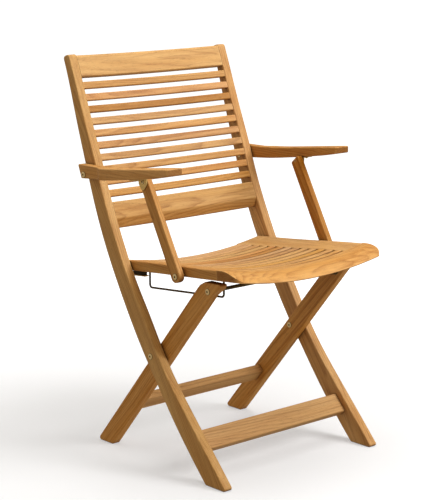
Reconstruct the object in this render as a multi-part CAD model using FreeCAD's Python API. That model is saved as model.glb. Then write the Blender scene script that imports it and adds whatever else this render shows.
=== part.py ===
import FreeCAD, Part
import os, math

# Folding teak armchair.  Millimetres.  +Z up, the sitter faces -Y, width along X.
# The chair's own right side is -X.  Origin: centre of the bounding box on the floor.

V = FreeCAD.Vector
os.makedirs("parts", exist_ok=True)

# ------------------------------------------------------------------ driving dimensions
Y_SHIFT = 23.9            # moves the profile coordinates so that the bounding box is centred

STILE_OUT, STILE_IN = 236.2, 213.7      # outer and inner faces of the long front-leg stiles
LEG_OUT, LEG_IN = 211.7, 190.3          # outer and inner faces of the rear legs
EDGE_R = 2.6                            # eased edges of the timber

E = (-39.0, 250.0)        # crossing pivot of stile and rear leg  (y, z)
PS = (60.0, 440.0)        # seat pivot
Q = (-126.0, 444.0)       # strut foot on the seat side rail
PA = (165.0, 634.0)       # armrest pivot on the stile
U = (PA[0] + Q[0] - PS[0], PA[1] + Q[1] - PS[1])   # strut head under the armrest
ROD = (-202.7, 420.5)     # cross rod in the tops of the rear legs
ROD_R = 4.0
WIRE_R = 2.3
WIRE_X = 173.0            # guide wires left and right of the centre
BACK_BOW_R = 4200.0       # plan radius of the back slats and rails
DISH_R = 1150.0           # dish of the seat across its width
SEAT_T = 22.0             # seat timber thickness
SEAT_TILT = 4.745         # degrees, front up
SEAT_O = (0.0, 433.2)     # seat centreline surface at y = 0
N_BACK_SLATS = 10
BACK_PITCH = 26.2         # in z
GAP_Z = 11.0
N_SEAT_SLATS = 11
SEAT_PITCH = 25.1
SLOT_W = 8.4

# ------------------------------------------------------------------ helpers
def P(x, y, z):
    return V(x, y + Y_SHIFT, z)


def rounded_wire(pts, radii, x=0.0):
    """closed wire in the plane x from (y, z) points with a corner radius at each"""
    n = len(pts)
    if not hasattr(radii, "__len__"):
        radii = [radii] * n
    starts, ends, mids = [], [], []
    for i in range(n):
        a = V(0, *pts[i - 1]); b = V(0, *pts[i]); c = V(0, *pts[(i + 1) % n])
        r = radii[i]
        u = (a - b).normalize(); w = (c - b).normalize()
        cosang = max(-1.0, min(1.0, u.dot(w)))
        ang = math.acos(cosang)
        if r <= 0 or ang > math.pi - 1e-3:
            starts.append(b); ends.append(b); mids.append(None); continue
        t = r / math.tan(ang / 2)
        p1 = b + u * t; p2 = b + w * t
        bis = (u + w).normalize()
        cen = b + bis * (r / math.sin(ang / 2))
        mid = cen - bis * r
        starts.append(p1); ends.append(p2); mids.append(mid)
    off = V(x, Y_SHIFT, 0)
    edges = []
    for i in range(n):
        if mids[i] is not None:
            edges.append(Part.Arc(starts[i] + off, mids[i] + off, ends[i] + off).toShape())
        j = (i + 1) % n
        if (starts[j] - ends[i]).Length > 1e-4:
            edges.append(Part.LineSegment(ends[i] + off, starts[j] + off).toShape())
    return Part.Wire(edges)


def bar(pts, x0, x1, radii=0.0):
    """prism of a (y, z) outline between two x planes"""
    f = Part.Face(rounded_wire(pts, radii, min(x0, x1)))
    return f.extrude(V(abs(x1 - x0), 0, 0))


def ease(shape, r, pick=None):
    """round the edges that pick() accepts; falls back to smaller radii"""
    for k in (1.0, 0.7, 0.45):
        try:
            es = [e for e in shape.Edges if pick is None or pick(e)]
            if not es:
                return shape
            s = shape.makeFillet(r * k, es)
            if s.isValid() and s.Volume > 0.5 * shape.Volume:
                return s
        except Exception:
            pass
    print("edges left sharp")
    return shape


def on_x_faces(shape, xs, tol=0.02):
    """edges that lie wholly in one of the planes x = xs"""
    out = []
    for e in shape.Edges:
        bb = e.BoundBox
        if bb.XLength < tol and any(abs(bb.XMin - x) < tol for x in xs):
            out.append(e)
    return out


def ease_faces(shape, xs, r):
    for k in (1.0, 0.7, 0.45):
        try:
            s = shape.makeFillet(r * k, on_x_faces(shape, xs))
            if s.isValid() and s.Volume > 0.5 * shape.Volume:
                return s
        except Exception:
            pass
    print("side edges left sharp")
    return shape


def cyl_x(y, z, x0, x1, r):
    return Part.makeCylinder(r, abs(x1 - x0), P(min(x0, x1), y, z), V(1, 0, 0))


def mirror(shape):
    return shape.mirror(V(0, 0, 0), V(1, 0, 0))


def solid_of(shape):
    s = shape.removeSplitter() if hasattr(shape, "removeSplitter") else shape
    return s


def out(name, shape):
    if isinstance(shape, (list, tuple)):
        shape = Part.makeCompound(list(shape))
    solids = shape.Solids
    if len(solids) == 1:
        shape = solids[0]
    else:
        shape = Part.makeCompound(solids)
    assert solids and all(s.isValid() for s in solids), name
    shape.exportStep("parts/%s.step" % name)
    BOX.add(shape.BoundBox)
    bb = shape.BoundBox
    print("%-26s %2d solids %8.1f cm3  x %7.1f %7.1f  y %7.1f %7.1f  z %7.1f %7.1f" % (
        name, len(solids), shape.Volume / 1000, bb.XMin, bb.XMax, bb.YMin, bb.YMax, bb.ZMin, bb.ZMax))


BOX = FreeCAD.BoundBox()


def bolt_head(y, z, x, sign, r=7.0, h=1.6, rec=2.1, rec_d=1.0):
    """low domed head with a hexagon recess, standing out of the face at x towards sign"""
    prof = [V(0, 0, 0), V(0, r, 0), V(h * 0.45, r, 0), V(h, r * 0.62, 0), V(h, 0, 0)]
    w = Part.makePolygon(prof + [prof[0]])
    head = Part.Face(w).revolve(V(0, 0, 0), V(1, 0, 0), 360)
    if head.Volume < 0:
        head.reverse()
    hexa = Part.makePolygon([V(h - rec_d, rec * math.cos(math.radians(60 * k)), rec * math.sin(math.radians(60 * k)))
                             for k in range(7)])
    cut = Part.Face(hexa).extrude(V(rec_d + 1, 0, 0))
    head = head.cut(cut)
    if sign < 0:
        head = mirror(head)
    head.translate(P(x, y, z))
    return head


def pin_with_heads(y, z, xa, xb, shank_r, ra=7.0, rb=7.0, heads="ab"):
    """shank from face xa to face xb (xa < xb), low heads on the ends named"""
    s = cyl_x(y, z, xa, xb, shank_r)
    if "a" in heads:
        s = s.fuse(bolt_head(y, z, xa, -1, ra))
    if "b" in heads:
        s = s.fuse(bolt_head(y, z, xb, 1, rb))
    return solid_of(s)


# ------------------------------------------------------------------ stiles (front legs and back posts)
FRONT = [(-290, 0), (-235, 60), (-166, 134), (-101, 207), (-60, 262), (-17, 330), (36, 411),
         (81, 495), (121, 582), (153, 667), (188, 754), (221, 841), (242.7, 896.7)]
BACK = [(-222, 0), (-170, 56), (-112, 124), (-60, 192), (-17, 249), (30, 319), (80, 403), (125, 490),
        (160, 575), (190, 663), (219, 751), (246, 839), (264.7, 890.7)]


def spline(pts, x):
    c = Part.BSplineCurve()
    c.interpolate([P(x, y, z) for y, z in pts])
    return c


def stile_blank(x0, x1, front=0.0):
    f = spline(FRONT, x0)
    b = spline(BACK, x0)
    e1 = f.toShape()
    e2 = Part.LineSegment(P(x0, *FRONT[-1]), P(x0, *BACK[-1])).toShape()
    e3 = b.toShape()
    e4 = Part.LineSegment(P(x0, *BACK[0]), P(x0, *FRONT[0])).toShape()
    w = Part.Wire([e1, e2, Part.Wire([e3]).Edges[0], e4])
    return Part.Face(w).extrude(V(x1 - x0, 0, 0))


def cross_edges(shape, tests):
    """edges along X whose (y, z) is within 1 mm of one of the given points"""
    res = []
    for e in shape.Edges:
        bb = e.BoundBox
        if bb.YLength < 0.02 and bb.ZLength < 0.02:
            for (y, z) in tests:
                if abs(bb.YMin - Y_SHIFT - y) < 1 and abs(bb.ZMin - z) < 1:
                    res.append(e)
    return res


stile = stile_blank(STILE_IN, STILE_OUT)
stile = stile.makeFillet(7.5, cross_edges(stile, [FRONT[-1], BACK[-1]]))
stile = stile.makeFillet(5.0, cross_edges(stile, [FRONT[0], BACK[0]]))
stile = ease_faces(stile, [STILE_IN, STILE_OUT], EDGE_R)
SEAT_PIN_R = 3.0
stile_raw = stile
# bores: crossing bolt, armrest bolt, blind bore for the seat pin
stile = stile.cut(cyl_x(E[0], E[1], 200, 250, 4.0))
stile = stile.cut(cyl_x(PA[0], PA[1], 200, 250, 3.5))
stile = stile.cut(cyl_x(PS[0], PS[1], 200, STILE_IN + 15, SEAT_PIN_R))
out("left_stile", stile)
out("right_stile", mirror(stile))


# ------------------------------------------------------------------ back panel
def front_at(z):
    """front edge of the stile at height z, and its unit direction up the stile"""
    c = spline(FRONT, 0)
    lo, hi = c.FirstParameter, c.LastParameter
    for _ in range(60):
        m = (lo + hi) / 2
        if c.value(m).z < z:
            lo = m
        else:
            hi = m
    p = c.value(lo)
    t = c.tangent(lo)[0]
    return (p.y - Y_SHIFT, p.z), (t.y, t.z)


def panel_bar(z_low, z_top, thick, setback, bevel=0.0, radii=None, z_ref=None):
    """a rail or slat between the stiles: z_low..z_top measured on its front face"""
    (y0, z0), (uy, uz) = front_at(z_ref if z_ref else 0.5 * (z_low + z_top))
    ny, nz = uz, -uy                       # towards the back of the chair
    y0 += ny * setback; z0 += nz * setback
    def at(z, d):
        s = (z - z0) / uz
        return (y0 + uy * s + ny * d, z0 + uz * s + nz * d)
    if bevel:
        pts = [at(z_top, 0), at(z_top, thick), at(z_low, thick), at(z_low, bevel * 0.72), at(z_low + bevel, 0)]
        rr = radii or [3, 3, 3, 5, 7]
    else:
        pts = [at(z_top, 0), at(z_top, thick), at(z_low, thick), at(z_low, 0)]
        rr = radii or 3.0
    # slight bow: revolve about an axis parallel to the face, in front of the chair
    w = rounded_wire(pts, rr, 0.0)
    axis_pt = P(0, y0 - ny * BACK_BOW_R + 0, z0 - nz * BACK_BOW_R)
    ang = math.degrees(math.asin((STILE_IN + 3) / BACK_BOW_R))
    f = Part.Face(w)
    f.rotate(axis_pt, V(0, uy, uz), -ang)
    s = f.revolve(axis_pt, V(0, uy, uz), 2 * ang)
    if s.Volume < 0:
        s.reverse()
    sag = STILE_IN ** 2 / (2 * BACK_BOW_R)
    s.translate(V(0, sag * ny, sag * nz))
    box = Part.makeBox(2 * STILE_IN, 900, 1100, V(-STILE_IN, -400, -50))
    return s.common(box)


gap_top = [846.2 - BACK_PITCH * k for k in range(N_BACK_SLATS + 1)]
out("back_top_rail", panel_bar(gap_top[0], 894.6, 18.0, 1.0, radii=[7, 5, 3, 3]))
for k in range(N_BACK_SLATS):
    zt = gap_top[k] - GAP_Z
    zl = gap_top[k + 1]
    out("back_slat_%02d" % (k + 1), panel_bar(zl, zt, 12.0, 1.6, radii=2.6))
z_br = gap_top[-1] - GAP_Z
out("back_bottom_rail", panel_bar(520.0, z_br, 22.0, 1.2, bevel=17.0, z_ref=560.0))


# ------------------------------------------------------------------ lower stretchers
def box_section(front_top, front_bot, thick, x, r=3.0):
    """bar between -x and x whose front face runs from front_top to front_bot"""
    uy, uz = front_top[0] - front_bot[0], front_top[1] - front_bot[1]
    L = math.hypot(uy, uz); uy /= L; uz /= L
    ny, nz = uz, -uy
    pts = [front_top, (front_top[0] + ny * thick, front_top[1] + nz * thick),
           (front_bot[0] + ny * thick, front_bot[1] + nz * thick), front_bot]
    return bar(pts, -x, x, r)


out("front_stretcher", box_section((-171.5, 106.0), (-204.0, 71.0), 20.0, STILE_IN))


# ------------------------------------------------------------------ rear legs
leg_pts = [(189, 0), (-163.0, 416.5), (-176.5, 431.5), (-193.0, 440.5), (-246.0, 442.2),
           (-237.5, 430.0), (-216.5, 414.0), (133, 0)]
leg = bar(leg_pts, LEG_IN, LEG_OUT, [6, 14, 12, 8, 4, 8, 8, 6])
leg = ease_faces(leg, [LEG_IN, LEG_OUT], EDGE_R)
leg = leg.cut(cyl_x(E[0], E[1], 150, 250, 4.05))
leg = leg.cut(cyl_x(ROD[0], ROD[1], 150, 250, 3.0))
out("left_rear_leg", leg)
out("right_rear_leg", mirror(leg))


def rear_stretcher():
    # front face parallel to the rear legs: from (52,119) down to (76.5,89.5)
    ft, fb = (51.0, 119.5), (76.0, 89.5)
    uy, uz = ft[0] - fb[0], ft[1] - fb[1]
    L = math.hypot(uy, uz); uy /= L; uz /= L
    ny, nz = uz, -uy
    t = 20.0
    pts = [ft, (ft[0] + ny * t, ft[1] + nz * t), (fb[0] + ny * t, fb[1] + nz * t), fb]
    return bar(pts, -LEG_IN, LEG_IN, 3.0)


out("rear_stretcher", rear_stretcher())

# bolts in the tops of the rear legs (they screw into the ends of the cross rod)
leg_bolt = pin_with_heads(ROD[0], ROD[1], LEG_IN + 0.0, LEG_OUT, 3.0, heads="b")
out("leg_top_bolts", [leg_bolt, mirror(leg_bolt)])
# cross rod, running in the guide wires
out("leg_cross_rod", cyl_x(ROD[0], ROD[1], -(LEG_IN - 0.4), LEG_IN - 0.4, ROD_R))

# crossing bolts with a spacer washer between stile and leg
xb = pin_with_heads(E[0], E[1], LEG_IN, STILE_OUT, 3.98, heads="ab")
out("crossing_bolts", [xb, mirror(xb)])
wash = cyl_x(E[0], E[1], LEG_OUT + 0.3, STILE_IN, 11.0).cut(cyl_x(E[0], E[1], 150, 250, 4.0))
out("crossing_washers", [wash, mirror(wash)])

# seat pivot pins: fixed in the stiles, turning in the seat side rails
pin = cyl_x(PS[0], PS[1], STILE_IN - 26.0, STILE_IN + 15.0, SEAT_PIN_R)
out("seat_pivot_pins", [pin, mirror(pin)])

# ------------------------------------------------------------------ seat
# Local seat frame: x across, y rearwards along the seat, z normal to it, origin on the
# centreline surface.  place() turns it into the chair frame.
def place(shape):
    s = shape.copy()
    s.rotate(V(0, 0, 0), V(1, 0, 0), -SEAT_TILT)
    s.translate(P(0, SEAT_O[0], SEAT_O[1]))
    return s


def to_local(y, z):
    a = math.radians(SEAT_TILT)
    dy, dz = y - SEAT_O[0], z - SEAT_O[1]
    return (dy * math.cos(a) - dz * math.sin(a), dy * math.sin(a) + dz * math.cos(a))


def local_wire(pts, radii):
    n = len(pts)
    w = rounded_wire(pts, radii, 0.0)
    w.translate(V(0, -Y_SHIFT, 0))
    return w


def dished(wire_pts, radii, half_angle):
    """sweep a (r, n) profile round the dish of the seat"""
    f = Part.Face(local_wire(wire_pts, radii))
    ax = V(0, 0, DISH_R)
    f.rotate(ax, V(0, 1, 0), half_angle)
    s = f.revolve(ax, V(0, 1, 0), -2 * half_angle)
    if s.Volume < 0:
        s.reverse()
    return s


def prism_z(pts, z0=-60, z1=80):
    w = Part.makePolygon([V(x, y, z0) for x, y in pts] + [V(pts[0][0], pts[0][1], z0)])
    return Part.Face(w).extrude(V(0, 0, z1 - z0))


R_REAR, R_FRONT = 88.0, -309.0          # rear and front ends of the seat, along it
R_SLOT1 = 35.0                          # centre of the rearmost slot
r_slots = [R_SLOT1 - SEAT_PITCH * k for k in range(N_SEAT_SLATS + 1)]
R_FR = r_slots[-1] - SLOT_W / 2         # rear edge of the front rail
R_RR = r_slots[0] + SLOT_W / 2          # front edge of the rear rail


def x_in(r):      # inner edge of the side rails
    return 141.0 + (35.0 - r) * (161.0 - 141.0) / (35.0 + 241.0)


def x_out(r):     # outer edge: straight between the stiles, then flaring gently
    if r > 0:
        return LEG_OUT
    return LEG_OUT + 10.0 * (1 - math.cos(min(1.0, -r / 240.0) * math.pi)) / 2


HA = 13.0
# side rails
sec_full = [(R_REAR, 0), (R_REAR, -SEAT_T), (R_FR, -SEAT_T), (R_FR, 0)]
panel = dished(sec_full, 0, HA)
rs = [R_REAR, 60, 30, 0, -30, -60, -90, -120, -150, -180, -210, R_FR]
outer = [(x_out(r), r) for r in rs]
inner = [(x_in(r), r) for r in (R_FR, R_REAR)]
plan_edges = []
w1 = Part.BSplineCurve(); w1.interpolate([V(x, y, -60) for x, y in outer])
pl = Part.Wire([w1.toShape(),
                Part.LineSegment(V(outer[-1][0], outer[-1][1], -60), V(inner[0][0], inner[0][1], -60)).toShape(),
                Part.LineSegment(V(inner[0][0], inner[0][1], -60), V(inner[1][0], inner[1][1], -60)).toShape(),
                Part.LineSegment(V(inner[1][0], inner[1][1], -60), V(outer[0][0], outer[0][1], -60)).toShape()])
plan = Part.Face(pl).extrude(V(0, 0, 140))
side = panel.common(plan)
side = side.Solids[0]


def outer_edges(shape):
    res = []
    for e in shape.Edges:
        bb = e.BoundBox
        if bb.YLength > 150 and bb.XMin > 200:
            res.append(e)
    return res


try:
    s2 = side.makeFillet(3.0, outer_edges(side))
    if s2.isValid():
        side = s2
except Exception:
    print("side rail edges left sharp")
def under(y, x):
    """height of the seat's underside at (x, y)"""
    r, _ = to_local(y, 430)
    n = DISH_R - math.sqrt((DISH_R + SEAT_T) ** 2 - x * x)
    a = math.radians(SEAT_TILT)
    return SEAT_O[1] + (y - SEAT_O[0]) * -math.tan(a) + n / math.cos(a)



side = place(side)
WIRE_Y = (37.0, -211.5)
for yy in WIRE_Y:
    side = side.cut(Part.makeCylinder(WIRE_R, 24.0, P(WIRE_X, yy, under(yy, WIRE_X) - 14.5), V(0, 0, 1)))
side = side.cut(cyl_x(PS[0], PS[1], STILE_IN - 27.0, 240, SEAT_PIN_R + 0.06))
side = side.cut(cyl_x(Q[0], Q[1], LEG_OUT - 26, 260, 3.0))
out("seat_left_rail", side)
out("seat_right_rail", mirror(side))

# front rail with its waterfall nose and rounded corners
NOSE_R = 80.0
r0 = -256.0
drop = NOSE_R - math.sqrt(NOSE_R ** 2 - (r0 - R_FRONT) ** 2)
fr_w = []
pA = V(0, R_FR, 0); pB = V(0, r0, 0)
ang_end = math.asin((r0 - R_FRONT) / NOSE_R)
pM = V(0, r0 - NOSE_R * math.sin(ang_end / 2), -(NOSE_R - NOSE_R * math.cos(ang_end / 2)))
pC = V(0, R_FRONT, -drop)
pD = V(0, R_FRONT + 4.0, -SEAT_T)
pE = V(0, R_FR, -SEAT_T)
mid_cd = V(0, R_FRONT + 0.9, -SEAT_T + (SEAT_T - drop) * 0.25)
w = Part.Wire([Part.LineSegment(pA, pB).toShape(), Part.Arc(pB, pM, pC).toShape(),
               Part.Arc(pC, mid_cd, pD).toShape(), Part.LineSegment(pD, pE).toShape(),
               Part.LineSegment(pE, pA).toShape()])
f = Part.Face(w)
ax = V(0, 0, DISH_R)
f.rotate(ax, V(0, 1, 0), HA)
fr = f.revolve(ax, V(0, 1, 0), -2 * HA)
if fr.Volume < 0:
    fr.reverse()
xo = x_out(R_FR)
cr = 24.0
s45 = cr * (1 - math.sqrt(0.5))
w = Part.Wire([
    Part.LineSegment(V(-xo, R_FR, -60), V(-xo, R_FRONT + cr, -60)).toShape(),
    Part.Arc(V(-xo, R_FRONT + cr, -60), V(-xo + s45, R_FRONT + s45, -60), V(-xo + cr, R_FRONT, -60)).toShape(),
    Part.LineSegment(V(-xo + cr, R_FRONT, -60), V(xo - cr, R_FRONT, -60)).toShape(),
    Part.Arc(V(xo - cr, R_FRONT, -60), V(xo - s45, R_FRONT + s45, -60), V(xo, R_FRONT + cr, -60)).toShape(),
    Part.LineSegment(V(xo, R_FRONT + cr, -60), V(xo, R_FR, -60)).toShape(),
    Part.LineSegment(V(xo, R_FR, -60), V(-xo, R_FR, -60)).toShape()])
fr = fr.common(Part.Face(w).extrude(V(0, 0, 140)))
out("seat_front_rail", place(fr))

# cross pieces between the side rails
def between(r_lo, r_hi, radii):
    s = dished([(r_hi, 0), (r_hi, -SEAT_T), (r_lo, -SEAT_T), (r_lo, 0)], radii, 8.4)
    pr = prism_z([(-x_in(r_hi + 20), r_hi + 20), (-x_in(r_lo - 20), r_lo - 20),
                  (x_in(r_lo - 20), r_lo - 20), (x_in(r_hi + 20), r_hi + 20)])
    return place(s.common(pr))


out("seat_rear_rail", between(R_RR, R_REAR, [6, 3, 2.2, 2.2]))
for k in range(N_SEAT_SLATS):
    out("seat_slat_%02d" % (k + 1), between(r_slots[k + 1] + SLOT_W / 2, r_slots[k] - SLOT_W / 2, [2.2, 2.2, 2.2, 2.2]))


# guide wires: a bent wire loop under each side of the seat, for the cross rod to run in
def wire_loop(x):
    yb, yf = WIRE_Y
    zb, zf = 384.0, 404.5
    R = 7.0
    pts = [(yb, under(yb, x) + 9.0), (yb, zb), (yf, zf), (yf, under(yf, x) + 9.0)]
    edges = []
    a = V(x, pts[0][0] + Y_SHIFT, pts[0][1])
    prev = a
    for i in (1, 2):
        b = V(x, pts[i][0] + Y_SHIFT, pts[i][1])
        p_in = V(x, pts[i - 1][0] + Y_SHIFT, pts[i - 1][1]); p_out = V(x, pts[i + 1][0] + Y_SHIFT, pts[i + 1][1])
        u = (p_in - b).normalize(); w = (p_out - b).normalize()
        ang = math.acos(u.dot(w)); t = R / math.tan(ang / 2)
        s1 = b + u * t; s2 = b + w * t
        bis = (u + w).normalize(); m = b + bis * (R / math.sin(ang / 2) - R)
        edges.append(Part.LineSegment(prev, s1).toShape())
        edges.append(Part.Arc(s1, m, s2).toShape())
        prev = s2
    edges.append(Part.LineSegment(prev, V(x, pts[3][0] + Y_SHIFT, pts[3][1])).toShape())
    path = Part.Wire(edges)
    prof = Part.Wire([Part.makeCircle(WIRE_R, a, V(0, 0, 1))])
    return path.makePipeShell([prof], True, False)


wl = wire_loop(WIRE_X)
out("left_guide_wire", wl)
out("right_guide_wire", mirror(wl))

# ------------------------------------------------------------------ armrests
ARM_IN = STILE_OUT + 1.4
ARM_TONGUE = 258.0
arm_top = [(186.5, 655.6), (150, 656.2), (105, 656.9), (60, 659.8), (0, 666.0), (-60, 672.6), (-147.5, 682.0)]
arm_bot = [(-147.5, 667.0), (-85, 655.2), (-30, 646.6), (20, 639.6), (80, 632.0), (130, 627.6), (174.4, 624.3)]
t1 = spline(arm_top, 225.0).toShape()
t2 = spline(arm_bot, 225.0).toShape()
l1 = Part.LineSegment(P(225, *arm_top[-1]), P(225, *arm_bot[0])).toShape()
l2 = Part.LineSegment(P(225, *arm_bot[-1]), P(225, *arm_top[0])).toShape()
arm = Part.Face(Part.Wire([t1, l1, t2, l2])).extrude(V(60, 0, 0))


def plan_curve(pts, z):
    c = Part.BSplineCurve()
    c.interpolate([V(x, y + Y_SHIFT, z) for x, y in pts])
    return c.toShape()


def pv(x, y, z=560):
    return V(x, y + Y_SHIFT, z)


FC = 9.0     # plan radius of the front corners
arm_plan = Part.Wire([
    Part.LineSegment(pv(ARM_IN, 200), pv(ARM_IN, -52)).toShape(),
    plan_curve([(ARM_IN, -52), (ARM_IN - 1.0, -66), (232.6, -98), (229.9, -128), (229.6, -147.5 + FC)], 560),
    Part.Arc(pv(229.6, -147.5 + FC), pv(229.6 + FC * 0.293, -147.5 + FC * 0.293), pv(229.6 + FC, -147.5)).toShape(),
    Part.LineSegment(pv(229.6 + FC, -147.5), pv(274.5 - FC, -147.5)).toShape(),
    Part.Arc(pv(274.5 - FC, -147.5), pv(274.5 - FC * 0.293, -147.5 + FC * 0.293), pv(274.5, -147.5 + FC)).toShape(),
    plan_curve([(274.5, -147.5 + FC), (274.4, -90), (273.6, -20), (272.4, 50), (271.6, 84)], 560),
    plan_curve([(271.6, 84), (270.6, 93.0), (265.0, 103.0), (259.4, 113.0), (ARM_TONGUE, 122)], 560),
    Part.LineSegment(pv(ARM_TONGUE, 122), pv(ARM_TONGUE, 200)).toShape(),
    Part.LineSegment(pv(ARM_TONGUE, 200), pv(ARM_IN, 200)).toShape()])
arm = arm.common(Part.Face(arm_plan).extrude(V(0, 0, 200)))


def arm_long(e):
    bb = e.BoundBox
    return bb.YLength > 10 or bb.XLength > 5


a2 = None
for r in (2.5, 2.2, 1.5):
    try:
        c = arm.makeFillet(r, [e for e in arm.Edges])
        if c.isValid() and c.Volume > 0.9 * arm.Volume:
            a2 = c
            break
    except Exception:
        pass
if a2 is None:
    print("armrest edges left sharp")
else:
    arm = a2
arm = arm.cut(cyl_x(PA[0], PA[1], 220, 300, 3.56))


def arm_under(y):
    """underside of the armrest near the bracket"""
    return 646.6 + (639.6 - 646.6) * (y + 30) / 50.0


SCREW_Y = (-28.0, -14.0)
for yy in SCREW_Y:
    arm = arm.cut(Part.makeCylinder(1.6, 16.0, P(253.0, yy, arm_under(yy) - 4.0), V(0, 0, 1)))
out("left_armrest", arm)
out("right_armrest", mirror(arm))

ab = pin_with_heads(PA[0], PA[1], STILE_IN, ARM_TONGUE + 0.3, 3.5, heads="ab")
out("armrest_bolts", [ab, mirror(ab)])
aw = cyl_x(PA[0], PA[1], STILE_OUT, ARM_IN - 0.3, 9.0).cut(cyl_x(PA[0], PA[1], 200, 300, 3.5))
out("armrest_washers", [aw, mirror(aw)])

# ------------------------------------------------------------------ struts
ST_IN, ST_OUT = 222.2, 236.6
dY, dZ = U[0] - Q[0], U[1] - Q[1]
LS = math.hypot(dY, dZ)
uy, uz = dY / LS, dZ / LS
ny, nz = uz, -uy


def at(p, along, across):
    return (p[0] + uy * along + ny * across, p[1] + uz * along + nz * across)


HW = 14.6
strut = bar([at(Q, -13.4, -HW), at(U, 9.0, -HW + 1.5), at(U, 2.0, HW), at(Q, -13.4, HW)],
            ST_IN, ST_OUT, [13.2, 5.0, 5.0, 13.2])
strut = ease_faces(strut, [ST_IN, ST_OUT], 1.8)
strut = strut.cut(cyl_x(Q[0], Q[1], 200, 260, 3.06))
strut = strut.cut(cyl_x(U[0], U[1], 200, 260, 3.06))
out("left_strut", strut)
out("right_strut", mirror(strut))

X_Q = max(x_out(to_local(Q[0] + d, Q[1])[0]) for d in (-8.5, 0.0, 8.5))
sb = pin_with_heads(Q[0], Q[1], LEG_OUT - 24, ST_OUT + 0.3, 3.0, heads="b")
out("strut_foot_bolts", [sb, mirror(sb)])
sw = cyl_x(Q[0], Q[1], X_Q + 0.15, ST_IN - 0.3, 8.0).cut(cyl_x(Q[0], Q[1], 200, 260, 3.0))
out("strut_foot_spacers", [sw, mirror(sw)])

# brass angle brackets that carry the strut heads under the armrests
BR_X0, BR_X1 = ST_OUT + 0.35, ST_OUT + 2.35
ya, yb_ = -35.0, -7.0
web = bar([(ya, arm_under(ya) - 0.9), (yb_, arm_under(yb_) - 0.9), (yb_ - 0.5, U[1] - 6.0), (U[0] + 4.0, U[1] - 18.0),
           (U[0] - 4.0, U[1] - 18.0), (ya + 0.5, U[1] - 6.0)], BR_X0, BR_X1, [0, 0, 9, 4, 4, 9])
flange = bar([(ya, arm_under(ya) - 0.9), (yb_, arm_under(yb_) - 0.9), (yb_, arm_under(yb_) - 2.4),
              (ya, arm_under(ya) - 2.4)], BR_X0, 264.0, 0)
br = solid_of(web.fuse(flange)).cut(cyl_x(U[0], U[1], 200, 260, 3.0))
for yy in SCREW_Y:
    br = br.cut(Part.makeCylinder(1.6, 8.0, P(253.0, yy, arm_under(yy) - 6.0), V(0, 0, 1)))
out("left_arm_bracket", br)
out("right_arm_bracket", mirror(br))
scr = []
for yy in SCREW_Y:
    z_ = arm_under(yy) - 2.4
    h = Part.makeCone(2.0, 3.6, 1.4, P(253.0, yy, z_ - 2.0), V(0, 0, 1)).fuse(
        Part.makeCylinder(1.58, 12.6, P(253.0, yy, z_ - 0.6), V(0, 0, 1)))
    scr.append(solid_of(h))
out("left_bracket_screws", scr)
out("right_bracket_screws", [mirror(h) for h in scr])
hb = pin_with_heads(U[0], U[1], ST_IN, BR_X1, 3.0, ra=6.0, rb=4.7, heads="b")
out("left_strut_head_bolt", hb)
out("right_strut_head_bolt", mirror(hb))

# dark pivot brackets with a pale plate under the rear of the seat
def block(x0, x1, y0, y1, top, bot):
    xm = 0.5 * (x0 + x1)
    return bar([(y0, under(y0, x0) - top), (y1, under(y1, x0) - top), (y1, under(y1, x0) - bot), (y0, under(y0, x0) - bot)],
               x0, x1, 0)


pb = block(178.0, 189.0, 41.0, 78.0, 0.35, 9.0)
out("pivot_brackets", [pb, mirror(pb)])
pp = block(178.0, 189.7, 35.0, 72.0, 9.0, 11.0)
out("pivot_plates", [pp, mirror(pp)])

cx = 0.5 * (BOX.YMin + BOX.YMax)
print("bbox x %.2f %.2f  y %.2f %.2f  z %.2f %.2f   centre y %.3f" % (
    BOX.XMin, BOX.XMax, BOX.YMin, BOX.YMax, BOX.ZMin, BOX.ZMax, cx))
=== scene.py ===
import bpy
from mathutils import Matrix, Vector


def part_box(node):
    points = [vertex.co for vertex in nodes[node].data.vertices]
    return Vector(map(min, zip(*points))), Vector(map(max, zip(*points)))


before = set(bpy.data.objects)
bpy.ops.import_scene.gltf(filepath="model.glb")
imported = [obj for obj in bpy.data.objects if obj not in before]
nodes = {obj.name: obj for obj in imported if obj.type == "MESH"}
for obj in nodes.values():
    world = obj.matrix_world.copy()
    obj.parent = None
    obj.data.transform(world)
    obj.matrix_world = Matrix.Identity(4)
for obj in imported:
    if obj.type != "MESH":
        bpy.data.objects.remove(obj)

import math, random, zlib
import bpy, bmesh
from mathutils import Vector, Matrix, Euler

for stock in ("Cube", "Light", "Camera"):
    if stock in bpy.data.objects:
        bpy.data.objects.remove(bpy.data.objects[stock])
bpy.context.view_layer.update()


def seed(name, salt=0):
    return random.Random(zlib.crc32((name + str(salt)).encode()))


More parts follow.
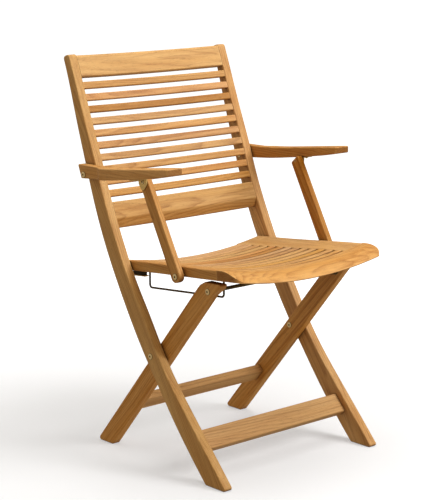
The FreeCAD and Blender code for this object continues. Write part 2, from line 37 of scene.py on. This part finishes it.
# ------------------------------------------------------------------ node helpers
class Tree:
    def __init__(self, name):
        self.mat = bpy.data.materials.new(name)
        self.mat.use_nodes = True
        self.nt = self.mat.node_tree
        self.nt.nodes.clear()

    def node(self, kind, **props):
        n = self.nt.nodes.new(kind)
        for k, v in props.items():
            setattr(n, k, v)
        return n

    def put(self, socket, value):
        if isinstance(value, bpy.types.NodeSocket):
            self.nt.links.new(value, socket)
        else:
            socket.default_value = value

    def math(self, op, a, b=None, c=None, clamp=False):
        n = self.node("ShaderNodeMath", operation=op, use_clamp=clamp)
        self.put(n.inputs[0], a)
        if b is not None:
            self.put(n.inputs[1], b)
        if c is not None:
            self.put(n.inputs[2], c)
        return n.outputs[0]

    def vmath(self, op, a, b=None, scale=None):
        n = self.node("ShaderNodeVectorMath", operation=op)
        self.put(n.inputs[0], a)
        if b is not None:
            self.put(n.inputs[1], b)
        if scale is not None:
            self.put(n.inputs["Scale"], scale)
        return n.outputs["Value"] if op in ("LENGTH", "DOT_PRODUCT") else n.outputs["Vector"]

    def mapping(self, vec, loc=(0, 0, 0), rot=(0, 0, 0), scale=(1, 1, 1), kind="POINT"):
        n = self.node("ShaderNodeMapping", vector_type=kind)
        self.put(n.inputs["Vector"], vec)
        if kind == "POINT":
            n.inputs["Location"].default_value = loc
        n.inputs["Rotation"].default_value = rot
        n.inputs["Scale"].default_value = scale
        return n.outputs["Vector"]

    def noise(self, vec, scale=1.0, detail=2.0, rough=0.5, dist=0.0):
        n = self.node("ShaderNodeTexNoise")
        self.put(n.inputs["Vector"], vec)
        n.inputs["Scale"].default_value = scale
        n.inputs["Detail"].default_value = detail
        n.inputs["Roughness"].default_value = rough
        n.inputs["Distortion"].default_value = dist
        return n.outputs["Fac"]

    def ramp(self, fac, stops, interp="LINEAR"):
        n = self.node("ShaderNodeValToRGB")
        cr = n.color_ramp
        cr.interpolation = interp
        while len(cr.elements) > 1:
            cr.elements.remove(cr.elements[-1])
        cr.elements[0].position = stops[0][0]
        cr.elements[0].color = self.rgba(stops[0][1])
        for p, c in stops[1:]:
            e = cr.elements.new(p)
            e.color = self.rgba(c)
        self.put(n.inputs["Fac"], fac)
        return n.outputs["Color"]

    @staticmethod
    def rgba(c):
        if not hasattr(c, "__len__"):
            return (c, c, c, 1)
        return (c[0], c[1], c[2], 1)

    def mix(self, fac, a, b, mode="MIX"):
        n = self.node("ShaderNodeMix", data_type="RGBA", blend_type=mode)
        n.clamp_factor = True
        self.put(n.inputs[0], fac)
        self.put(n.inputs[6], a if isinstance(a, bpy.types.NodeSocket) else self.rgba(a))
        self.put(n.inputs[7], b if isinstance(b, bpy.types.NodeSocket) else self.rgba(b))
        return n.outputs[2]

    def lerp(self, fac, lo, hi):
        n = self.node("ShaderNodeMapRange")
        n.clamp = True
        self.put(n.inputs["Value"], fac)
        n.inputs["To Min"].default_value = lo
        n.inputs["To Max"].default_value = hi
        return n.outputs["Result"]


def lin(*c):
    """display values 0-255 to linear"""
    return tuple(((v / 255) / 12.92 if v / 255 <= 0.04045 else ((v / 255 + 0.055) / 1.055) ** 2.4) for v in c)


# ------------------------------------------------------------------ teak
HONEY = lin(213, 166, 104)
GOLD = lin(199, 146, 82)
BROWN = lin(162, 102, 46)
LATE = lin(136, 80, 33)
PORE = lin(80, 44, 17)


def teak(name, along, face, value=1.0, warm=0.0, red=0.0, ring=0.0042, figure=1.0, crevice_shade_strength=0.55):
    """Solid teak: growth rings about a pith line outside the board, so that faces, edges and
    end grain all agree. along is the grain direction, face the broad face's normal."""
    rnd = seed(name)
    w = Vector(along).normalized()
    n = Vector(face)
    n = (n - w * n.dot(w)).normalized()
    u = n.cross(w).normalized()
    m = Matrix((u, n, w))                       # rows: piece coordinates from object coordinates
    tilt = Euler((math.radians(rnd.uniform(-1.6, 1.6)), math.radians(rnd.uniform(-1.0, 1.0)),
                  math.radians(rnd.uniform(-25, 25)))).to_matrix()
    rot = (tilt @ m).to_euler("XYZ")
    side = rnd.choice((-1, 1))
    o = nodes[name].data
    cx = [sum((v.co[i] for v in o.vertices)) / len(o.vertices) for i in range(3)]
    c = tilt @ m @ Vector(cx)
    pith = Vector((rnd.uniform(-0.03, 0.03), side * rnd.uniform(0.05, 0.10), 0))
    loc = pith - Vector((c.x, c.y, 0)) + Vector((0, 0, rnd.uniform(0, 5)))

    t = Tree("teak." + name)
    tc = t.node("ShaderNodeTexCoord")
    p = t.mapping(tc.outputs["Object"], loc=tuple(loc), rot=tuple(rot))
    # slow wander of the rings along the board
    ps = t.mapping(p, scale=(9, 9, 2.2))
    wn = t.node("ShaderNodeTexNoise")
    t.put(wn.inputs["Vector"], ps)
    wn.inputs["Scale"].default_value = 1.0
    wn.inputs["Detail"].default_value = 2.5
    wander = t.vmath("SUBTRACT", wn.outputs["Color"], (0.5, 0.5, 0.5))
    wander = t.vmath("MULTIPLY", wander, (0.030 * figure, 0.030 * figure, 0.0))
    pw = t.vmath("ADD", p, wander)
    flat = t.vmath("MULTIPLY", pw, (1, 1, 0))
    rad = t.vmath("LENGTH", flat)
    uneven = t.noise(t.mapping(p, scale=(60, 60, 3.0)), 1.0, 2.0)
    turns = t.math("MULTIPLY", rad, 1.0 / ring)
    turns = t.math("MULTIPLY_ADD", uneven, 1.3, turns)
    ringf = t.math("FRACT", turns)
    # each ring darkens slowly, then drops back at the porous line
    late = t.ramp(ringf, [(0.0, 0.85), (0.06, 0.30), (0.18, 0.04), (0.55, 0.16), (0.86, 0.55), (1.0, 0.85)])
    # ring strength itself varies from band to band
    gate = t.noise(t.mapping(p, scale=(70, 70, 1.1), loc=(3.1, 1.7, 0.4)), 1.0, 2.0)
    gate = t.ramp(gate, [(0.34, 0.12), (0.62, 1.0)])
    rings = t.math("MULTIPLY", late, gate)

    broad = t.noise(t.mapping(p, scale=(26, 26, 1.3), loc=(1.3, 4.2, 2.0)), 1.0, 3.0, 0.55)
    streak = t.noise(t.mapping(p, scale=(150, 150, 2.6)), 1.0, 3.0, 0.6)
    fibre = t.noise(t.mapping(p, scale=(900, 900, 14)), 1.0, 3.0, 0.65)
    pores = t.noise(t.mapping(p, scale=(1500, 1500, 55)), 1.0, 1.0, 0.5)
    poref = t.ramp(pores, [(0.60, 0.0), (0.70, 1.0)])
    poref = t.math("MULTIPLY", poref, t.lerp(late, 0.45, 1.0))

    base = t.ramp(broad, [(0.28, GOLD), (0.50, HONEY), (0.75, lin(221, 178, 120))])
    base = t.mix(t.math("MULTIPLY", t.ramp(streak, [(0.46, 0.0), (0.72, 1.0)]), 0.55), base, BROWN)
    base = t.mix(t.math("MULTIPLY", rings, 0.66), base, LATE)
    base = t.mix(t.math("MULTIPLY", t.ramp(fibre, [(0.42, 0.0), (0.75, 1.0)]), 0.26), base, BROWN)
    base = t.mix(t.math("MULTIPLY", poref, 0.55), base, PORE)

    # end grain: where the surface looks along the fibres it drinks oil and goes dark
    nrm = t.mapping(tc.outputs["Normal"], rot=tuple(rot), kind="VECTOR")
    sep = t.node("ShaderNodeSeparateXYZ")
    t.put(sep.inputs[0], nrm)
    endg = t.ramp(t.math("ABSOLUTE", sep.outputs["Z"]), [(0.55, 0.0), (0.92, 1.0)])
    base = t.mix(t.math("MULTIPLY", endg, 0.55), base, lin(112, 66, 30))

    # worn, lighter arrises, and painted shade darkening the joints, slots and recesses
    edge = t.node("ShaderNodeAmbientOcclusion", inside=True, samples=6, only_local=True)
    edge.inputs["Distance"].default_value = 0.0042
    conv = t.ramp(t.math("SUBTRACT", 1.0, edge.outputs["AO"]), [(0.10, 0.0), (0.62, 1.0)])
    conv = t.math("MULTIPLY", conv, t.lerp(streak, 0.15, 0.85))
    base = t.mix(t.math("MULTIPLY", conv, 0.42), base, lin(230, 192, 140))
    ao = t.node("ShaderNodeAmbientOcclusion", samples=6)
    ao.inputs["Distance"].default_value = 0.016 if crevice_shade_strength < 0.9 else 0.026
    painted_crevice_shade = t.ramp(ao.outputs["AO"], [(0.25, 1.0), (0.78 if crevice_shade_strength < 0.9 else 0.86, 0.0)])
    base = t.mix(t.math("MULTIPLY", painted_crevice_shade, crevice_shade_strength), base, lin(84, 46, 20))
    # painted shade: a dark line along tight contacts and round bolt heads
    contact_ao = t.node("ShaderNodeAmbientOcclusion", samples=6)
    contact_ao.inputs["Distance"].default_value = 0.0028
    painted_contact_shade = t.ramp(contact_ao.outputs["AO"], [(0.35, 1.0), (0.80, 0.0)])
    base = t.mix(t.math("MULTIPLY", painted_contact_shade, 0.70), base, lin(58, 30, 12))

    tone = t.node("ShaderNodeHueSaturation")
    tone.inputs["Hue"].default_value = 0.5 - 0.008 * red + 0.003 * warm
    tone.inputs["Saturation"].default_value = 1.0 + 0.12 * red + 0.06 * warm
    tone.inputs["Value"].default_value = value
    t.put(tone.inputs["Color"], base)

    h = t.math("MULTIPLY", fibre, 0.35)
    h = t.math("MULTIPLY_ADD", poref, -0.9, h)
    h = t.math("MULTIPLY_ADD", late, 0.25, h)
    bump = t.node("ShaderNodeBump")
    bump.inputs["Strength"].default_value = 0.35
    bump.inputs["Distance"].default_value = 0.00022
    t.put(bump.inputs["Height"], h)

    rough = t.math("MULTIPLY_ADD", fibre, 0.16, t.lerp(broad, 0.36, 0.50))
    rough = t.math("MULTIPLY_ADD", endg, 0.16, rough, clamp=True)
    b = t.node("ShaderNodeBsdfPrincipled")
    t.put(b.inputs["Base Color"], tone.outputs["Color"])
    t.put(b.inputs["Roughness"], rough)
    b.inputs["Specular IOR Level"].default_value = 0.30
    b.inputs["IOR"].default_value = 1.5
    t.put(b.inputs["Normal"], bump.outputs["Normal"])
    out = t.node("ShaderNodeOutputMaterial")
    t.nt.links.new(b.outputs["BSDF"], out.inputs["Surface"])
    return t.mat


# ------------------------------------------------------------------ metals
def metal(name, bright, dull, painted_shade_col, rough_lo, rough_hi, scale=220.0, metallic=1.0, tarnish=0.5,
          crevice_shade_dist=0.0022, stretch=(1, 1, 1), centre=None, socket=0.0023, rim=0.0058):
    t = Tree(name)
    tc = t.node("ShaderNodeTexCoord")
    p = t.mapping(tc.outputs["Object"], scale=stretch)
    blotch = t.noise(p, scale, 4.0, 0.6)
    fine = t.noise(p, scale * 9, 2.0, 0.6)
    scratch = t.noise(t.mapping(tc.outputs["Object"], scale=(1.0, 7.0, 0.6), rot=(0.4, 0.1, 0.7)), scale * 5, 2.0, 0.7)
    col = t.mix(t.math("MULTIPLY", t.ramp(blotch, [(0.40, 0.0), (0.68, 1.0)]), tarnish), bright, dull)
    col = t.mix(t.math("MULTIPLY", t.ramp(scratch, [(0.58, 0.0), (0.66, 1.0)]), 0.35), col,
                tuple(min(1.0, c * 1.25) for c in bright))
    # painted shade: AO darkens crevices and recesses on the metal
    ao = t.node("ShaderNodeAmbientOcclusion", samples=8)
    ao.inputs["Distance"].default_value = crevice_shade_dist
    painted_crevice_shade = t.ramp(ao.outputs["AO"], [(0.55, 1.0), (0.93, 0.0)])
    col = t.mix(t.math("MULTIPLY", painted_crevice_shade, 0.9), col, painted_shade_col)
    if centre is not None:
        # painted shade: the driver socket and the rim of the head are darkened
        q = t.vmath("SUBTRACT", tc.outputs["Object"], (0.0, centre[0], centre[1]))
        q = t.vmath("LENGTH", t.vmath("MULTIPLY", q, (0, 1, 1)))
        q = t.math("MULTIPLY_ADD", t.math("SUBTRACT", fine, 0.5), 0.0006, q)
        socket_shade = t.node("ShaderNodeMapRange")
        t.put(socket_shade.inputs["Value"], q)
        socket_shade.inputs["From Min"].default_value = socket * 0.85
        socket_shade.inputs["From Max"].default_value = socket * 1.12
        socket_shade.inputs["To Min"].default_value = 0.92
        socket_shade.inputs["To Max"].default_value = 0.0
        col = t.mix(socket_shade.outputs["Result"], col, painted_shade_col)
        edge = t.node("ShaderNodeMapRange")
        t.put(edge.inputs["Value"], q)
        edge.inputs["From Min"].default_value = rim
        edge.inputs["From Max"].default_value = rim * 1.18
        edge.inputs["To Min"].default_value = 0.0
        edge.inputs["To Max"].default_value = 0.62
        col = t.mix(edge.outputs["Result"], col, painted_shade_col)
    r = t.lerp(t.math("MULTIPLY_ADD", fine, 0.4, t.math("MULTIPLY", blotch, 0.6)), rough_lo, rough_hi)
    bump = t.node("ShaderNodeBump")
    bump.inputs["Strength"].default_value = 0.25
    bump.inputs["Distance"].default_value = 0.00008
    t.put(bump.inputs["Height"], t.math("ADD", fine, t.math("MULTIPLY", scratch, 0.6)))
    b = t.node("ShaderNodeBsdfPrincipled")
    t.put(b.inputs["Base Color"], col)
    t.put(b.inputs["Roughness"], r)
    b.inputs["Metallic"].default_value = metallic
    t.put(b.inputs["Normal"], bump.outputs["Normal"])
    out = t.node("ShaderNodeOutputMaterial")
    t.nt.links.new(b.outputs["BSDF"], out.inputs["Surface"])
    return t.mat


def brass_bolt(node):
    lo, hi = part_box(node)
    c = (0.5 * (lo[1] + hi[1]), 0.5 * (lo[2] + hi[2]))
    small = 0.5 * (hi[2] - lo[2]) < 0.006
    return metal("brass." + node, lin(255, 232, 178), lin(214, 174, 108), lin(34, 20, 9), 0.24, 0.44, metallic=0.62,
                 crevice_shade_dist=0.0030, centre=c, rim=0.0040 if small else 0.0058)


BRASS = metal("brass_aged", lin(250, 224, 168), lin(206, 164, 100), lin(34, 20, 9), 0.24, 0.44, metallic=0.72, crevice_shade_dist=0.0030)
PLATE = metal("brass_plate", lin(250, 222, 150), lin(204, 166, 96), lin(48, 30, 13), 0.28, 0.50, metallic=0.45)
WIRE = metal("bronze_wire", lin(104, 90, 58), lin(58, 48, 28), lin(20, 15, 8), 0.28, 0.50, scale=120, tarnish=0.8)
STEEL = metal("dark_steel", lin(70, 62, 50), lin(38, 32, 26), lin(12, 10, 8), 0.36, 0.60, scale=150, tarnish=0.7)
PIN = metal("steel_pin", lin(150, 142, 126), lin(96, 86, 70), lin(24, 20, 16), 0.25, 0.45, scale=160)

# ------------------------------------------------------------------ finish on every node
X, Y, Z = (1, 0, 0), (0, 1, 0), (0, 0, 1)


def long_axis(node):
    lo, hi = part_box(node)
    return Vector(hi) - Vector(lo)


def yz_direction(node, sign):
    d = long_axis(node)
    return (0, sign * d.y, d.z)


SLAT_TONE = {3: (0.73, 0.0, 1.0)}
for name, o in sorted(nodes.items()):
    slot = o.data.materials[0].name.split(".")[0] if o.data.materials and o.data.materials[0] else "teak"
    rnd = seed(name, "tone")
    if slot in ("teak", "teak_slat"):
        value, warm, red = 1.0 + rnd.uniform(-0.05, 0.05), rnd.uniform(-1, 1), rnd.uniform(-0.4, 0.5)
        ring, figure, crevice_shade_strength = rnd.uniform(0.0034, 0.0056), 1.0, 0.55
        if "stile" in name:
            along, face = yz_direction(name, 1), X
            value, figure = 1.0, 1.25
        elif "rear_leg" in name:
            along, face = yz_direction(name, -1), X
            value, warm, red = 1.06, 0.4, 0.65
        elif "strut" in name:
            along, face = yz_direction(name, 1), X
            # the far-side left strut gets a darker, redder tone: painted shade
            value, warm, red = (0.95, 0.4, 0.6) if name.startswith("right") else (0.80, 0.4, 1.0)
        elif "armrest" in name:
            along, face = Y, Z
            figure = 1.2
            # the far-side left armrest gets a darker, redder tone: painted shade
            value, warm, red = (1.02, 0.3, 0.3) if name.startswith("right") else (0.84, 0.3, 0.8)
        elif name in ("seat_left_rail", "seat_right_rail"):
            along, face = Y, Z
        elif name.startswith("back_slat"):
            along, face = X, Y
            k = int(name[-2:])
            value = 1.0 + rnd.uniform(-0.10, 0.06)
            if k in SLAT_TONE:
                value, warm, red = SLAT_TONE[k]
        elif name.startswith("seat_slat"):
            # seat slats get stronger, wider painted shade so their slots read dark
            along, face, crevice_shade_strength = X, Z, 0.95
            value = 1.0 + rnd.uniform(-0.10, 0.06)
        elif name in ("back_top_rail", "back_bottom_rail"):
            along, face, figure = X, Y, 1.3
            value, red = (1.06, -0.5) if "top" in name else (0.90, 0.0)
        else:
            along, face = X, Z
        mat = teak(name, along, face, value, warm, red, ring, figure, crevice_shade_strength)
    elif slot == "brass":
        if "bolt" in name:
            mat = brass_bolt(name)
        else:
            mat = PLATE if "bracket" in name or "plate" in name else BRASS
    elif slot == "bronze_wire":
        mat = WIRE
    elif slot == "dark_steel":
        mat = STEEL
    else:
        mat = PIN
    if len(o.data.materials) == 0:
        o.data.materials.append(mat)
    else:
        for i in range(len(o.data.materials)):
            o.data.materials[i] = mat

# ------------------------------------------------------------------ floor
bm = bmesh.new()
rings, segs, prev = [0.0, 0.5, 1.0, 2.0, 4.0, 8.0, 16.0, 32.0, 70.0], 48, None
centre = bm.verts.new((0, 0, 0))
for r in rings[1:]:
    ring_v = [bm.verts.new((r * math.cos(2 * math.pi * k / segs), r * math.sin(2 * math.pi * k / segs), 0)) for k in range(segs)]
    for k in range(segs):
        j = (k + 1) % segs
        if prev is None:
            bm.faces.new((centre, ring_v[k], ring_v[j]))
        else:
            bm.faces.new((prev[k], ring_v[k], ring_v[j], prev[j]))
    prev = ring_v
me = bpy.data.meshes.new("studio_floor")
bm.to_mesh(me)
bm.free()
floor = bpy.data.objects.new("studio_floor", me)
bpy.context.scene.collection.objects.link(floor)
floor.location.z = -0.0003
t = Tree("paper_floor")
tc = t.node("ShaderNodeTexCoord")
soft = t.noise(tc.outputs["Object"], 2.3, 3.0)
grain = t.noise(tc.outputs["Object"], 900, 2.0)
b = t.node("ShaderNodeBsdfPrincipled")
t.put(b.inputs["Base Color"], t.mix(soft, (0.54, 0.545, 0.56), (0.57, 0.575, 0.59)))
t.put(b.inputs["Roughness"], t.lerp(grain, 0.62, 0.74))
b.inputs["Specular IOR Level"].default_value = 0.2
# painted light: the floor glows, dimmer near the chair and brighter further out, standing in for a lit sweep
b.inputs["Emission Color"].default_value = (0.93, 0.965, 1.0, 1)
painted_floor_glow = t.node("ShaderNodeMapRange", interpolation_type="SMOOTHSTEP")
t.put(painted_floor_glow.inputs["Value"], t.vmath("LENGTH", tc.outputs["Object"]))
painted_floor_glow.inputs["From Min"].default_value = 0.35
painted_floor_glow.inputs["From Max"].default_value = 1.9
painted_floor_glow.inputs["To Min"].default_value = 0.40
painted_floor_glow.inputs["To Max"].default_value = 0.95
t.put(b.inputs["Emission Strength"], painted_floor_glow.outputs["Result"])
o_ = t.node("ShaderNodeOutputMaterial")
t.nt.links.new(b.outputs["BSDF"], o_.inputs["Surface"])
me.materials.append(t.mat)
floor.visible_diffuse = False
floor.visible_glossy = False

# pale backdrop all round, seen by the camera only
bm = bmesh.new()
bmesh.ops.create_uvsphere(bm, u_segments=48, v_segments=24, radius=66.0)
me = bpy.data.meshes.new("studio_backdrop")
bm.to_mesh(me)
bm.free()
backdrop = bpy.data.objects.new("studio_backdrop", me)
bpy.context.scene.collection.objects.link(backdrop)
t = Tree("paper_backdrop")
tc = t.node("ShaderNodeTexCoord")
em = t.node("ShaderNodeEmission")
t.put(em.inputs["Color"], t.mix(t.noise(tc.outputs["Object"], 0.02, 2.0), (0.96, 0.965, 0.97), (1.0, 1.0, 1.0)))
em.inputs["Strength"].default_value = 1.0
o_ = t.node("ShaderNodeOutputMaterial")
t.nt.links.new(em.outputs["Emission"], o_.inputs["Surface"])
me.materials.append(t.mat)
backdrop.visible_diffuse = False
backdrop.visible_glossy = False
backdrop.visible_transmission = False
backdrop.visible_shadow = False

# ------------------------------------------------------------------ light
scene = bpy.context.scene
world = bpy.data.worlds.new("studio")
world.use_nodes = True
bg = world.node_tree.nodes["Background"]
bg.inputs["Color"].default_value = (1.0, 0.85, 0.66, 1)
bg.inputs["Strength"].default_value = 0.37
scene.world = world


def area(name, at, to, size, watts, colour=(1, 1, 1)):
    l = bpy.data.lights.new(name, "AREA")
    l.shape = "RECTANGLE"
    l.size, l.size_y = size
    l.energy = watts
    l.color = colour
    ob = bpy.data.objects.new(name, l)
    ob.location = at
    ob.rotation_euler = (Vector(to) - Vector(at)).to_track_quat("-Z", "Y").to_euler()
    scene.collection.objects.link(ob)
    return ob


area("key", (1.5, -3.4, 2.75), (0, 0, 0.5), (1.7, 1.7), 112, (1.0, 0.99, 0.975))
area("top", (0.3, -0.2, 3.4), (0, 0, 0.3), (2.2, 2.2), 70, (1.0, 0.99, 0.97))
area("rim", (-1.8, 2.6, 2.2), (0, 0, 0.5), (1.6, 1.4), 8, (1.0, 0.99, 0.98))

# ------------------------------------------------------------------ camera
cam = bpy.data.cameras.new("camera")
cam.sensor_width = 36.0
cam.sensor_fit = "AUTO"
cam.lens = 117.88
cam.clip_end = 300
co = bpy.data.objects.new("camera", cam)
right, up, back = Vector((0.7469, -0.6649, -0.0008)), Vector((0.1339, 0.1493, 0.9797)), Vector((-0.6513, -0.7318, 0.2006))
m = Matrix((right, up, back)).transposed().to_4x4()
m.translation = Vector((-2.4439, -2.7223, 1.2042))
co.matrix_world = m
scene.collection.objects.link(co)
scene.camera = co

scene.view_settings.view_transform = "Standard"
scene.view_settings.look = "None"
scene.view_settings.exposure = 0.0
